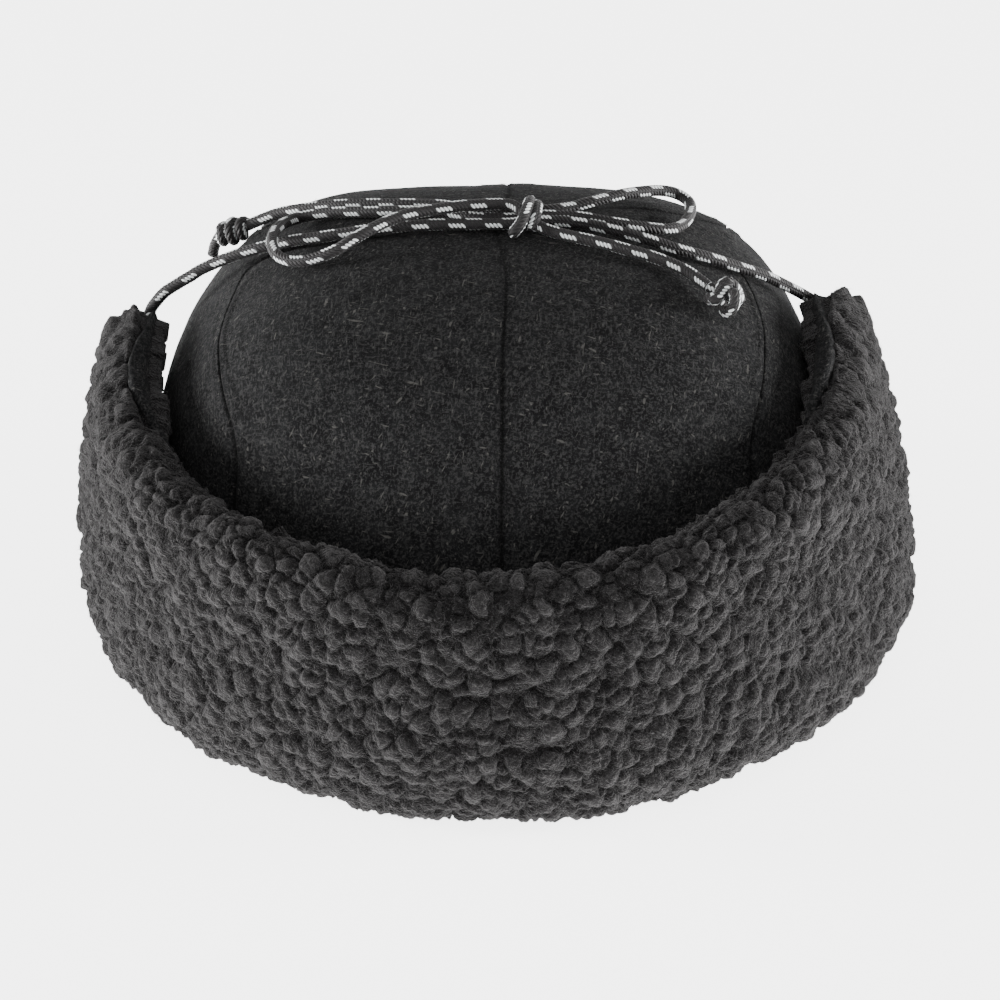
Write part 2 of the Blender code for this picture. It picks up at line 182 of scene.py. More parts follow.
class NodeDesk:
    # short calls for laying out a material's nodes
    def __init__(self, material):
        self.tree = material.node_tree
        self.count = 0

    def add(self, kind, **settings):
        node = self.tree.nodes.new(kind)
        self.count += 1
        node.location = (-220 * (self.count % 9) - 200, -260 * (self.count // 9))
        for key, value in settings.items():
            setattr(node, key, value)
        return node

    def link(self, source, target):
        self.tree.links.new(source, target)

    def feed(self, socket, value):
        if hasattr(value, "is_output"):
            self.link(value, socket)
        else:
            socket.default_value = value

    def math(self, operation, first, second=0.0, third=None):
        node = self.add("ShaderNodeMath", operation=operation)
        self.feed(node.inputs[0], first)
        self.feed(node.inputs[1], second)
        if third is not None:
            self.feed(node.inputs[2], third)
        return node.outputs[0]

    def coordinates(self, scale=(1, 1, 1), turn=(0, 0, 0)):
        source = self.add("ShaderNodeTexCoord").outputs["Object"]
        turned = self.add("ShaderNodeMapping", vector_type="TEXTURE")
        turned.inputs["Rotation"].default_value = turn
        self.link(source, turned.inputs["Vector"])
        scaled = self.add("ShaderNodeMapping")
        scaled.inputs["Scale"].default_value = scale
        self.link(turned.outputs[0], scaled.inputs["Vector"])
        return scaled.outputs[0]

    def noise(self, vector, scale, detail=2.0, roughness=0.5, distortion=0.0):
        node = self.add("ShaderNodeTexNoise")
        self.link(vector, node.inputs["Vector"])
        node.inputs["Scale"].default_value = scale
        node.inputs["Detail"].default_value = detail
        node.inputs["Roughness"].default_value = roughness
        node.inputs["Distortion"].default_value = distortion
        return node.outputs["Fac"]

    def ramp(self, value, *stops):
        node = self.add("ShaderNodeValToRGB")
        while len(node.color_ramp.elements) < len(stops):
            node.color_ramp.elements.new(0.5)
        for element, (place, color) in zip(node.color_ramp.elements, stops):
            element.position = place
            element.color = (*color, 1)
        self.link(value, node.inputs["Fac"])
        return node.outputs["Color"]

    def between(self, value, low, high, toLow=0.0, toHigh=1.0):
        node = self.add("ShaderNodeMapRange", interpolation_type="SMOOTHSTEP")
        for socket, number in zip(("From Min", "From Max", "To Min", "To Max"), (low, high, toLow, toHigh)):
            node.inputs[socket].default_value = number
        self.link(value, node.inputs["Value"])
        return node.outputs["Result"]

    def mix(self, share, first, second):
        node = self.add("ShaderNodeMix", data_type="RGBA")
        self.feed(node.inputs["Factor"], share)
        self.feed(node.inputs["A"], first)
        self.feed(node.inputs["B"], second)
        return node.outputs["Result"]

    def bump(self, height, distance, strength=1.0, under=None):
        node = self.add("ShaderNodeBump")
        node.inputs["Strength"].default_value = strength
        node.inputs["Distance"].default_value = distance
        self.link(height, node.inputs["Height"])
        if under is not None:
            self.link(under, node.inputs["Normal"])
        return node.outputs["Normal"]


def braidMaterial():
    # dark round braid with blocks of pale stitches, laid out by the cord's own length and turn; the valleys between
    # stitches carry painted shade and the stitch crowns are painted lighter
    look = {"dark": (0.0034, 0.0024, 0.0027), "darkLitTop": (0.0125, 0.0092, 0.0102),
            "pale": (0.50, 0.52, 0.52), "paleLitTop": (0.90, 0.92, 0.92), "paleStitches": 3.6, "repeat": 9.0}
    made, shader = newMaterial("fleckedBraid", "flecked_braid")
    desk = NodeDesk(made)
    lay = desk.add("ShaderNodeAttribute", attribute_name="braid").outputs["Vector"]
    parts = desk.add("ShaderNodeSeparateXYZ")
    desk.link(lay, parts.inputs[0])
    angle = desk.math("DIVIDE", desk.math("ARCTAN2", parts.outputs["Z"], parts.outputs["Y"]), 2 * math.pi)
    around = desk.math("MULTIPLY", desk.math("ADD", angle, 0.5), cord["rows"])
    row = desk.math("FLOOR", around)
    inRow = desk.math("SUBTRACT", desk.math("FRACT", around), 0.5)
    parity = desk.math("MODULO", row, 2.0)
    stitches = desk.math("DIVIDE", parts.outputs["X"], cord["pitch"])
    lean = desk.math("MULTIPLY", inRow, cord["slant"] * 2)
    place = desk.math("ADD", stitches, lean)
    stitch = desk.math("ABSOLUTE", desk.math("SUBTRACT", desk.math("FRACT", place), 0.5))
    grain = desk.between(stitch, 0.5, 0.12)
    shifted = desk.math("ADD", desk.math("FLOOR", place), desk.math("MULTIPLY", parity, 4.0))
    block = desk.math("MODULO", shifted, look["repeat"])
    isPale = desk.math("LESS_THAN", block, look["paleStitches"])
    offMiddle = desk.math("ABSOLUTE", inRow)
    acrossStitch = desk.math("POWER", desk.math("DIVIDE", stitch, 0.5), 2.0)
    alongStitch = desk.math("POWER", desk.math("DIVIDE", offMiddle, 0.275), 2.0)
    rounded = desk.between(desk.math("ADD", acrossStitch, alongStitch), 1.15, 0.85)
    fleck = desk.math("MULTIPLY", isPale, rounded)
    valley = desk.between(offMiddle, 0.5, 0.36)
    relief = desk.math("MULTIPLY", grain, valley)
    fibre = desk.noise(desk.coordinates(), 2600, 3)
    # painted shade and highlight: each colour has a lit copy for the stitch crowns and a shaded one for the valleys
    # between stitches and rows
    darkColor = desk.mix(desk.math("MULTIPLY", relief, fibre), (*look["dark"], 1), (*look["darkLitTop"], 1))
    paleColor = desk.mix(grain, (*look["pale"], 1), (*look["paleLitTop"], 1))
    desk.link(desk.mix(fleck, darkColor, paleColor), shader.inputs["Base Color"])
    raised = desk.math("ADD", relief, desk.math("MULTIPLY", fleck, 0.35))
    height = desk.math("ADD", raised, desk.math("MULTIPLY", fibre, 0.3))
    desk.link(desk.bump(height, 0.00022), shader.inputs["Normal"])
    shader.inputs["Roughness"].default_value = 0.62
    shader.inputs["Sheen Weight"].default_value = 0.08
    shader.inputs["Sheen Roughness"].default_value = 0.4
    return made


def woolMaterial():
    # felted melange wool: charcoal ground, short paler fibres lying every way, painted shade along the seams
    look = {"ground": (0.0050, 0.0050, 0.0054), "cloudy": (0.0110, 0.0112, 0.0118), "fibre": (0.048, 0.0475, 0.047),
            "long": (0.095, 0.092, 0.086), "seam": (0.003, 0.003, 0.003)}
    made, shader = newMaterial("melangeWool", "melange_wool")
    desk = NodeDesk(made)
    clouds = desk.between(desk.noise(desk.coordinates(), 210, 4, 0.6), 0.35, 0.68)
    color = desk.mix(clouds, (*look["ground"], 1), (*look["cloudy"], 1))
    heights = None
    for turn in ((0.3, 0.2, 0.1), (1.2, 0.5, 0.9), (0.4, 1.3, 2.0), (2.1, 0.8, 0.4), (0.9, 2.2, 1.5), (1.7, 1.9, 2.8)):
        strand = desk.noise(desk.coordinates((1500, 1500, 420), turn), 1.0, 1.5, 0.55, 0.45)
        lit = desk.between(strand, 0.56, 0.72)
        color = desk.mix(desk.math("MULTIPLY", lit, 0.55), color, (*look["fibre"], 1))
        heights = lit if heights is None else desk.math("ADD", heights, lit)
    for turn in ((0.7, 0.1, 2.2), (2.4, 1.1, 0.6), (1.5, 2.6, 1.2)):
        strand = desk.noise(desk.coordinates((1250, 1250, 250), turn), 1.0, 0.5, 0.5, 0.6)
        color = desk.mix(desk.between(strand, 0.72, 0.80, 0, 0.7), color, (*look["long"], 1))
    # painted shade in and beside the seam grooves, read from the crown's seam layer
    seam = desk.add("ShaderNodeAttribute", attribute_name="seam").outputs["Fac"]
    color = desk.mix(seam, color, (*look["seam"], 1))
    fine = desk.noise(desk.coordinates(), 1900, 3, 0.6)
    rough = desk.noise(desk.coordinates(), 260, 3, 0.6)
    soft = desk.bump(rough, 0.0011, 0.5)
    height = desk.math("ADD", desk.math("MULTIPLY", heights, 0.5), fine)
    desk.link(desk.bump(height, 0.0003, 0.7, soft), shader.inputs["Normal"])
    desk.link(color, shader.inputs["Base Color"])
    shader.inputs["Roughness"].default_value = 0.95
    shader.inputs["Sheen Weight"].default_value = 0.02
    shader.inputs["Sheen Roughness"].default_value = 0.5
    shader.inputs["Specular IOR Level"].default_value = 0.08
    return made


def fleeceMaterial():
    # curly fleece: painted shade in the creases and paler painted curl tops, fine fibres lying every way over the curls
    look = {"deep": (0.0030, 0.0027, 0.0028), "body": (0.0185, 0.0177, 0.0179), "tip": (0.048, 0.046, 0.046),
            "sheenTint": (0.9, 0.88, 0.88)}
    made, shader = newMaterial("curlyFleece", "curly_pile")
    desk = NodeDesk(made)
    shadeTone = desk.add("ShaderNodeAttribute", attribute_name="shadeTone").outputs["Fac"]
    strands = None
    for turn in ((0.5, 0.3, 0.2), (1.3, 0.9, 0.6), (0.2, 1.6, 1.1), (2.2, 0.4, 2.0), (1.0, 2.4, 0.7)):
        strand = desk.noise(desk.coordinates((1500, 1500, 480), turn), 1.0, 1.5, 0.6, 0.7)
        lit = desk.between(strand, 0.48, 0.70)
        strands = lit if strands is None else desk.math("ADD", strands, lit)
    patch = desk.noise(desk.coordinates(), 120, 3, 0.6)
    # painted shade: the shade tone runs the ramp from the shaded crease colour to the lit curl top
    share = desk.math("ADD", desk.math("MULTIPLY", shadeTone, 0.55),
                      desk.math("ADD", desk.math("MULTIPLY", strands, 0.13), desk.math("MULTIPLY", patch, 0.3)))
    color = desk.ramp(share, (0.40, look["deep"]), (0.66, look["body"]), (1.0, look["tip"]))
    desk.link(color, shader.inputs["Base Color"])
    fine = desk.noise(desk.coordinates(), 2200, 2, 0.65)
    crimp = desk.noise(desk.coordinates(), 620, 3, 0.65, 0.8)
    woolly = desk.bump(crimp, 0.0010, 0.5)
    height = desk.math("ADD", desk.math("MULTIPLY", strands, 0.4), fine)
    desk.link(desk.bump(height, 0.0004, 0.9, woolly), shader.inputs["Normal"])
    shader.inputs["Roughness"].default_value = 0.95
    shader.inputs["Sheen Weight"].default_value = 0.16
    shader.inputs["Sheen Roughness"].default_value = 0.5
    shader.inputs["Sheen Tint"].default_value = (*look["sheenTint"], 1)
    shader.inputs["Specular IOR Level"].default_value = 0.04
    return made


# Cords.

# Points of each cord from the flap's tip through the bow to its free end, in metres from the middle.
leftCordPoints = [
    (-0.0914, 0.0080, 0.0735), (-0.0908, 0.0115, 0.0780),
    (-0.0897, 0.0140, 0.0812), (-0.0879, 0.0135, 0.0840), (-0.0857, 0.0130, 0.0866), (-0.0822, 0.0125, 0.0892),
    (-0.0788, 0.0120, 0.0915), (-0.0756, 0.0115, 0.0938), (-0.0682, 0.0095, 0.0979), (-0.0637, 0.0082, 0.1000),
    (-0.0578, 0.0068, 0.1022), (-0.0515, 0.0046, 0.1045), (-0.0460, 0.0020, 0.1063), (-0.0396, 0.0006, 0.1079),
    (-0.0287, 0.0000, 0.1098), (-0.0194, 0.0000, 0.1106), (-0.0116, 0.0000, 0.1108), (0.0014, 0.0000, 0.1109),
    (0.0050, 0.0002, 0.1111), (0.0074, 0.0016, 0.1112), (0.0050, 0.0032, 0.1111), (0.0014, 0.0034, 0.1109),
    (-0.0060, 0.0042, 0.1109), (-0.0140, 0.0078, 0.1108), (-0.0259, 0.0102, 0.1101), (-0.0321, 0.0117, 0.1093),
    (-0.0411, 0.0157, 0.1075), (-0.0475, 0.0184, 0.1057), (-0.0521, 0.0182, 0.1047), (-0.0547, 0.0141, 0.1052),
    (-0.0566, 0.0069, 0.1063), (-0.0571, -0.0013, 0.1064), (-0.0560, -0.0062, 0.1056), (-0.0536, -0.0092, 0.1051),
    (-0.0500, -0.0113, 0.1054), (-0.0454, -0.0125, 0.1069), (-0.0401, -0.0128, 0.1094), (-0.0349, -0.0105, 0.1120),
    (-0.0285, -0.0054, 0.1135), (-0.0220, -0.0012, 0.1142), (-0.0116, 0.0026, 0.1144), (-0.0060, 0.0042, 0.1143),
    (0.0014, 0.0050, 0.1142), (0.0045, 0.0040, 0.1138), (0.0080, -0.0002, 0.1122), (0.0112, -0.0026, 0.1109),
    (0.0165, -0.0060, 0.1105), (0.0248, -0.0087, 0.1097), (0.0322, -0.0111, 0.1086), (0.0399, -0.0128, 0.1069),
    (0.0466, -0.0152, 0.1048), (0.0504, -0.0190, 0.1036), (0.0526, -0.0217, 0.1029),
]
rightCordPoints = [
    (0.0858, 0.0085, 0.0775), (0.0835, 0.0110, 0.0818), (0.0815, 0.0126, 0.0840),
    (0.0798, 0.0130, 0.0851), (0.0765, 0.0115, 0.0876), (0.0711, 0.0080, 0.0919),
    (0.0669, 0.0050, 0.0950), (0.0624, 0.0025, 0.0976), (0.0532, -0.0018, 0.1025), (0.0450, -0.0035, 0.1056),
    (0.0370, -0.0024, 0.1079), (0.0287, -0.0002, 0.1094), (0.0204, 0.0018, 0.1104), (0.0112, 0.0022, 0.1109),
    (0.0078, 0.0008, 0.1109), (0.0050, -0.0026, 0.1103), (0.0040, -0.0052, 0.1108), (0.0056, -0.0046, 0.1128),
    (0.0070, -0.0012, 0.1147), (0.0079, 0.0036, 0.1152), (0.0083, 0.0082, 0.1136), (0.0087, 0.0104, 0.1116),
    (0.0098, 0.0100, 0.1109), (0.0112, 0.0090, 0.1109), (0.0145, 0.0096, 0.1109), (0.0196, 0.0121, 0.1107),
    (0.0245, 0.0144, 0.1112), (0.0312, 0.0188, 0.1111), (0.0378, 0.0244, 0.1098), (0.0429, 0.0286, 0.1082),
    (0.0466, 0.0294, 0.1069), (0.0494, 0.0268, 0.1058), (0.0496, 0.0214, 0.1053), (0.0480, 0.0147, 0.1053),
    (0.0453, 0.0092, 0.1059), (0.0413, 0.0062, 0.1069), (0.0355, 0.0046, 0.1083), (0.0290, 0.0042, 0.1095),
    (0.0200, 0.0056, 0.1105), (0.0112, 0.0056, 0.1109), (0.0070, 0.0064, 0.1109), (0.0014, 0.0068, 0.1109),
    (-0.0060, 0.0082, 0.1109), (-0.0140, 0.0124, 0.1108), (-0.0260, 0.0153, 0.1100), (-0.0390, 0.0202, 0.1078),
    (-0.0469, 0.0244, 0.1054), (-0.0519, 0.0270, 0.1036), (-0.0565, 0.0298, 0.1016), (-0.0613, 0.0315, 0.0991),
    (-0.0656, 0.0326, 0.0968),
]
cordKnots = {"left": (0.0564, -0.0262, 0.1021), "right": (-0.0704, 0.0339, 0.0942)}


def braidTube(name, points, finish, nodes, roll, step=0.0003, sides=20, diameter=cord["diameter"]):
    # a round braid along the points: a bevelled curve made a mesh, then its stitches raised in it
    route = smoothRoute(points, step)
    line = bpy.data.curves.new(name, "CURVE")
    line.dimensions = "3D"
    line.twist_mode = "MINIMUM"
    line.bevel_depth = diameter / 2
    line.bevel_resolution = sides // 4 - 1
    line.use_fill_caps = True
    spline = line.splines.new("POLY")
    spline.points.add(len(route) - 1)
    for place, point in zip(spline.points, route):
        place.co = (*point, 1)
    helper = bpy.data.objects.new(name + "Line", line)
    bpy.context.scene.collection.objects.link(helper)
    bpy.context.view_layer.update()
    mesh = bpy.data.meshes.new_from_object(helper.evaluated_get(bpy.context.evaluated_depsgraph_get()))
    bpy.data.objects.remove(helper)
    mesh.name = name
    lay = mesh.attributes.new("braid", "FLOAT_VECTOR", "POINT")
    rings = len(route)
    around = len(mesh.vertices) // rings
    run = routeLength(route) / (rings - 1)
    side = (route[1] - route[0]).cross(Vector((0, 0, 1))).normalized()
    for ring in range(rings):
        ahead = (route[min(ring + 1, rings - 1)] - route[max(ring - 1, 0)]).normalized()
        side = (side - ahead * side.dot(ahead)).normalized()
        lift = side.cross(ahead)
        for k in range(around):
            vertex = mesh.vertices[ring * around + k]
            out = vertex.co - route[ring]
            out = (out - ahead * out.dot(ahead)).normalized()
            turn = math.atan2(out.dot(lift), out.dot(side)) + roll
            place = ring * run
            lay.data[ring * around + k].vector = (place, math.cos(turn), math.sin(turn))
            vertex.co += out * braidRelief(place, turn, diameter)
    mesh.shade_smooth()
    return adopt(bpy.data.objects.new(name, mesh), finish, nodes), route


def braidRelief(place, turn, diameter):
    # the same stitches as the material's, as height
    relief = {"level": 0.6, "height": 0.05}
    around = (turn / (2 * math.pi) % 1 + 0.5) % 1 * cord["rows"]
    inRow = around % 1 - 0.5
    stitch = abs((place / cord["pitch"] + inRow * cord["slant"] * 2) % 1 - 0.5)
    grain = max(0.0, math.cos(math.pi * stitch)) * math.cos(math.pi * min(abs(inRow), 0.5) * 0.9)
    return (grain - relief["level"]) * relief["height"] * diameter


def addCords(finish):
    made = {}
    for side, points, nodes in (
            ("left", leftCordPoints, ("tie_left_standing", "tie_left_loop", "tie_left_end")),
            ("right", rightCordPoints, ("tie_right_standing", "tie_right_loop", "tie_right_end"))):
        placed = [middle + Vector(point) for point in points]
        made[side] = braidTube(side + "Cord", placed, finish, nodes, 0.9)
    return made


def addEndKnots(finish):
    # the right cord ends in a barrel of turns, the left one in a round overhand knot; each has a short tail
    look = {"turns": 3.0, "barrel": 0.0086, "coil": 0.0023, "coilSteps": 40, "barrelTail": (-0.0012, 0.0008, -0.0050),
            "ball": 0.00138, "ballSteps": 25, "open": 24, "spin": 0.4, "ballTail": (0.0036, 0.0048, 0.0028),
            "diameter": 0.0029, "roll": 0.4, "step": 0.00035, "sides": 16}
    thread = (look["roll"], look["step"], look["sides"], look["diameter"])
    made = {}
    start = middle + Vector(rightCordPoints[-1])
    ahead = (middle + Vector(cordKnots["right"]) - start).normalized()
    side = ahead.cross(Vector((0, 0, 1))).normalized()
    lift = side.cross(ahead)
    points = [start - ahead * 0.001]
    for i in range(look["coilSteps"]):
        part = i / (look["coilSteps"] - 1)
        turn = 2 * math.pi * look["turns"] * part
        swell = look["coil"] * math.sin(math.pi * min(max(part, 0.06), 0.94)) ** 0.35
        points.append(start + ahead * look["barrel"] * part + (side * math.cos(turn) + lift * math.sin(turn)) * swell)
    points.append(points[-1] + Vector(look["barrelTail"]) * 0.5 + ahead * 0.0012)
    points.append(points[-1] + Vector(look["barrelTail"]) * 0.6)
    made["right"] = braidTube("rightCordKnot", points, finish, ("end_knot_right",), *thread)[0]
    start = middle + Vector(leftCordPoints[-1])
    centre = middle + Vector(cordKnots["left"])
    ahead = (centre - start).normalized()
    leaving = Vector(look["ballTail"]).normalized()
    spin = (Vector((0, 0, 1)).rotation_difference(ahead.cross(leaving).normalized()).to_matrix()
            @ Matrix.Rotation(look["spin"], 3, "Z"))
    points = [start - ahead * 0.0005]
    for i in range(look["ballSteps"]):
        t = math.radians(look["open"] + (360 - 2 * look["open"]) * i / (look["ballSteps"] - 1))
        flat = Vector((math.sin(t) + 2 * math.sin(2 * t), math.cos(t) - 2 * math.cos(2 * t), -1.35 * math.sin(3 * t)))
        points.append(centre + spin @ flat * look["ball"])
    points.append(points[-1] + Vector(look["ballTail"]))
    made["left"] = braidTube("leftCordKnot", points, finish, ("end_knot_left",), *thread)[0]
    return made


def declareCords(cords):
    for side, (piece, route) in cords.items():
        [tuple(p) for p in smoothRoute(route, cord["pathStep"])]


def addBowWrap(finish):
    # a short turn of the same cord low down in the bow, behind the big wrap
    points = [(0.0086, -0.0030, 0.1106), (0.0094, -0.0010, 0.1130), (0.0098, 0.0030, 0.1141), (0.0100, 0.0068, 0.1132),
              (0.0102, 0.0090, 0.1112)]
    return braidTube("bowWrap", [middle + Vector(p) for p in points], finish, ("bow_knot",), 2.2)[0]


# Crown.

# Height as a share, and the angle from the back at which each seam stands, seen from above.
sideSeam = [(0.00, 46), (0.60, 46.3), (0.685, 49), (0.73, 53.6), (0.775, 61), (0.80, 68.5), (0.825, 79), (0.86, 91),
            (0.93, 90), (1.00, 74)]
backSeam = [(0.00, 0.5), (0.55, 1.1), (0.78, 1.8), (0.92, 3.0), (1.00, 7.0)]
frontSeam = [(0.00, 0.4), (0.80, 1.5), (0.94, 5.0), (1.00, 9.0)]


def seamAngles(share, side):
    # the four seams of one side, from the back to the front
    hemAngle = math.radians(sideSeam[0][1])
    back = math.radians(alongTable(backSeam, share))
    beside = math.radians(alongTable(sideSeam, share))
    front = math.pi - hemAngle - (beside - hemAngle) / 3
    return [back * side, beside, front, math.pi - math.radians(alongTable(frontSeam, share)) * side]


def crownAt(seen, height):
    # crown point at an angle seen from above, in the crown's own proportions
    half = squarenessAt(height) / 2
    return crownPoint(math.atan2(powered(math.sin(seen), half), powered(math.cos(seen), half)), height)


def addCrown(finish):
    look = {"perPanel": 48, "rows": 92, "groove": 0.0007, "grooveWidth": 0.0006, "ridge": 0.0004, "ridgeHalf": 0.0072,
            "ridgeEdge": 0.0024, "wave": 0.0008, "waveSize": 0.034, "dimple": 0.00025, "dimpleSize": 0.011,
            "inset": 0.0005, "grooveShade": 0.5, "lineWidth": 0.0005, "shadeDark": 0.18, "shadeWidth": 0.0024}
    columns = 6 * look["perPanel"]
    shape = bmesh.new()
    bmesh.ops.create_uvsphere(shape, u_segments=columns, v_segments=2 * look["rows"], radius=1)
    bmesh.ops.delete(shape, geom=[v for v in shape.verts if v.co.z < -0.001], context="VERTS")
    dark = shape.verts.layers.float.new("seam")
    for vertex in shape.verts:
        rise = min(max(vertex.co.z, 0), 1)
        share = rise ** (2 / cap["sideFullness"])
        height = cap["hem"] + cap["height"] * share
        if rise > 0.9999:
            vertex.co = middle + topShift(height) + Vector((0, 0, height - 2 * look["inset"]))
            continue
        column = round(math.atan2(vertex.co.x, -vertex.co.y) / (2 * math.pi / columns)) % columns
        side = 1 if column <= columns // 2 else -1
        step = column if side > 0 else columns - column
        panel = min(step // look["perPanel"], 2)
        part = (step - panel * look["perPanel"]) / look["perPanel"]
        part -= 0.125 * math.sin(2 * math.pi * part)  # columns gather at the seams
        seams = seamAngles(share, side)
        seen = side * (seams[panel] + (seams[panel + 1] - seams[panel]) * part)
        place = crownAt(seen, height)
        ahead = crownAt(seen + 0.004, height) - place
        lower = crownAt(seen, height - 0.0006) - place
        out = lower.cross(ahead).normalized()
        nearest = min((place - crownAt(side * seam, height)).length for seam in seams)
        pressed = min(1, (1 - share) * 7 + 0.1)
        relief = -look["groove"] * pressed * math.exp(-((nearest / look["grooveWidth"]) ** 2)) - look["inset"]
        edge = min(max((look["ridgeHalf"] + look["ridgeEdge"] / 2 - nearest) / look["ridgeEdge"], 0), 1)
        relief += look["ridge"] * pressed * edge * edge * (3 - 2 * edge)
        relief += look["wave"] * noise.noise(place / look["waveSize"]) * min(1, (1 - share) * 6 + 0.3)
        relief += look["dimple"] * noise.noise(place / look["dimpleSize"])
        vertex.co = place + out * relief
        # painted shade for the wool: a dark line in each seam's groove and a softer, wider shade beside it
        vertex[dark] = (look["grooveShade"] * math.exp(-((nearest / look["lineWidth"]) ** 2))
                        + look["shadeDark"] * math.exp(-((nearest / look["shadeWidth"]) ** 2)))
    crown = finishPiece("crownCloth", shape, finish, ("crown",))
    wall = crown.modifiers.new("wall", "SOLIDIFY")
    wall.thickness = cap["wall"]
    wall.offset = -1
    return crown


# Flap.

flap = {"facing": 0.002, "pile": 0.0145, "belly": 0.0015, "waist": 1.3, "topRound": 0.011, "height": 0.086,
        "underHem": 0.006, "roll": 0.002, "flat": 0.0068, "footRound": 0.025, "setback": 0.006,
        "leftLean": 0.009, "rightLean": 0.0140, "gap": 0.0003, "clear": 0.0009, "span": 126, "tipAngle": 89,
        "endRound": 8}
# Angle from the back, height as a share, lean as a share.
flapRows = [
    (-126, 0.22, 0.0), (-119, 0.31, 0.2), (-112, 0.38, 0.6), (-104, 0.45, 0.9), (-98, 0.58, 1.0), (-93, 0.94, 1.0),
    (-87, 0.985, 0.95), (-78, 0.955, 0.8), (-62, 0.90, 0.6), (-45, 0.85, 0.4), (-22, 0.80, 0.3), (0, 0.76, 0.3),
    (22, 0.83, 0.3), (45, 0.93, 0.5), (62, 0.97, 0.8), (78, 1.00, 1.0), (89, 1.035, 1.0), (95, 0.98, 1.0),
    (100, 0.76, 1.0), (105, 0.60, 0.9), (112, 0.46, 0.6), (119, 0.34, 0.2), (126, 0.22, 0.0),
]
flapHeights = [(row[0], row[1]) for row in flapRows]
flapLeans = [(row[0], row[2]) for row in flapRows]


def flapTop(angle):
    return flap["height"] * alongTable(flapHeights, math.degrees(angle))


def flapPoint(angle, depth, height):
    hem = cap["hem"]
    full = flapTop(math.copysign(min(abs(angle), math.radians(flap["tipAngle"])), angle))
    share = min(max(height - hem, 0) / (full - hem), 1)
    tipLean = flap["leftLean"] if angle < 0 else flap["rightLean"]
    lean = tipLean * alongTable(flapLeans, math.degrees(angle))
    offset = flap["gap"] + 4 * flap["belly"] * share * (1 - share) - lean * share**3
    inPile = max(depth - flap["facing"] - flap["gap"], 0) / (flap["pile"] - flap["gap"])
    depth -= lean * (share ** flap["waist"] - share**3) * inPile
    ending = 1 - min(max((flap["span"] + 1 - math.degrees(abs(angle))) / flap["endRound"], 0), 1)
    depth *= 0.3 + 0.7 * math.sqrt(1 - ending * ending)  # both ends of the band are rounded off
    fullness = cap["backFullness"] if math.cos(angle) > 0 else cap["frontFullness"]
    beside = cap["halfWidth"] * shrinkAt(height, cap["sideFullness"]) + flap["clear"]
    behind = cap["reach"] * shrinkAt(height, fullness) + flap["clear"]
    halfWidth = max(cap["halfWidth"] + offset, beside) + depth
    reach = max(cap["reach"] + offset, behind) + depth
    return middle + planPoint(angle, halfWidth, reach, squarenessAt(height)) + topShift(height) + Vector((0, 0, height))


def pileSection(angle):
    # (depth, height) round the pile: foot, outside, top edge, inner side
    top = flapTop(angle)
    hem = cap["hem"]
    thick = flap["facing"] + flap["pile"]
    rounding = min(flap["topRound"], 0.45 * (top - hem))
    footStart = flap["roll"] - flap["underHem"]
    points = [(-flap["underHem"], hem - flap["gap"]), (-flap["underHem"] - flap["roll"] / 2, 0.6 * hem),
              (-flap["underHem"], 0.2 * hem), (footStart, 0.0004), (footStart + flap["flat"], 0.0004)]
    across = thick - footStart - flap["flat"]
    crest = top - rounding
    footRound = min(flap["footRound"], 0.8 * crest)
    for step in range(1, 6):
        turn = math.radians(90) * step / 5
        points.append((footStart + flap["flat"] + across * math.sin(turn), footRound * (1 - math.cos(turn))))
    for step in range(1, 5):
        points.append((thick, footRound + (crest - footRound) * step / 5))
    for step in range(0, 8):
        turn = math.radians(180) * step / 8
        points.append((thick / 2 + thick / 2 * math.cos(turn), crest + rounding * math.sin(turn)))
    facingTop = top - flap["setback"]
    points.append((0.0, facingTop + flap["gap"]))
    points.append((flap["facing"] + flap["gap"], facingTop + flap["gap"]))
    points.append((flap["facing"] + flap["gap"], hem - flap["gap"]))
    return points


def evenPoints(points, count):
    # count + 1 evenly spaced points along a flat broken line
    lengths = [0.0]
    for a, b in zip(points, points[1:]):
        lengths.append(lengths[-1] + math.hypot(b[0] - a[0], b[1] - a[1]))
    picked, at = [], 0
    for i in range(count + 1):
        wanted = lengths[-1] * i / count
        while at < len(points) - 2 and lengths[at + 1] < wanted:
            at += 1
        part = (wanted - lengths[at]) / max(lengths[at + 1] - lengths[at], 1e-9)
        picked.append((points[at][0] + (points[at + 1][0] - points[at][0]) * part,
                       points[at][1] + (points[at + 1][1] - points[at][1]) * part))
    return picked


def bandRound(section, stations, span):
    # a grid rolled into the band: its first and last rows meet, and both ends are closed
    rings = [section(math.radians(-span + 2 * span * i / stations)) for i in range(stations + 1)]
    around = len(rings[0]) - 1
    shape = bmesh.new()
    bmesh.ops.create_grid(shape, x_segments=stations, y_segments=around, size=1)
    for vertex in shape.verts:
        i = round((vertex.co.x + 1) / 2 * stations)
        j = round((vertex.co.y + 1) / 2 * around)
        vertex.co = flapPoint(math.radians(-span + 2 * span * i / stations), *rings[i][j])
    bmesh.ops.remove_doubles(shape, verts=shape.verts, dist=0.00002)
    bmesh.ops.holes_fill(shape, edges=[e for e in shape.edges if e.is_boundary], sides=0)
    bmesh.ops.recalc_face_normals(shape, faces=shape.faces)
    return shape


def curlShape(place, size):
    # height of a curl, about 1 at its top and 0 in the crease round it, each with its own swell
    (near, second), (seed, _) = (found[:2] for found in noise.voronoi(place / size))
    dome = max(0.0, 1 - (near / 0.85) ** 2)
    crease = min((second - near) / 0.34, 1)
    return (0.5 * dome + 0.5 * crease * (2 - crease)) * (0.86 + 0.3 * noise.noise(seed * 3.7))


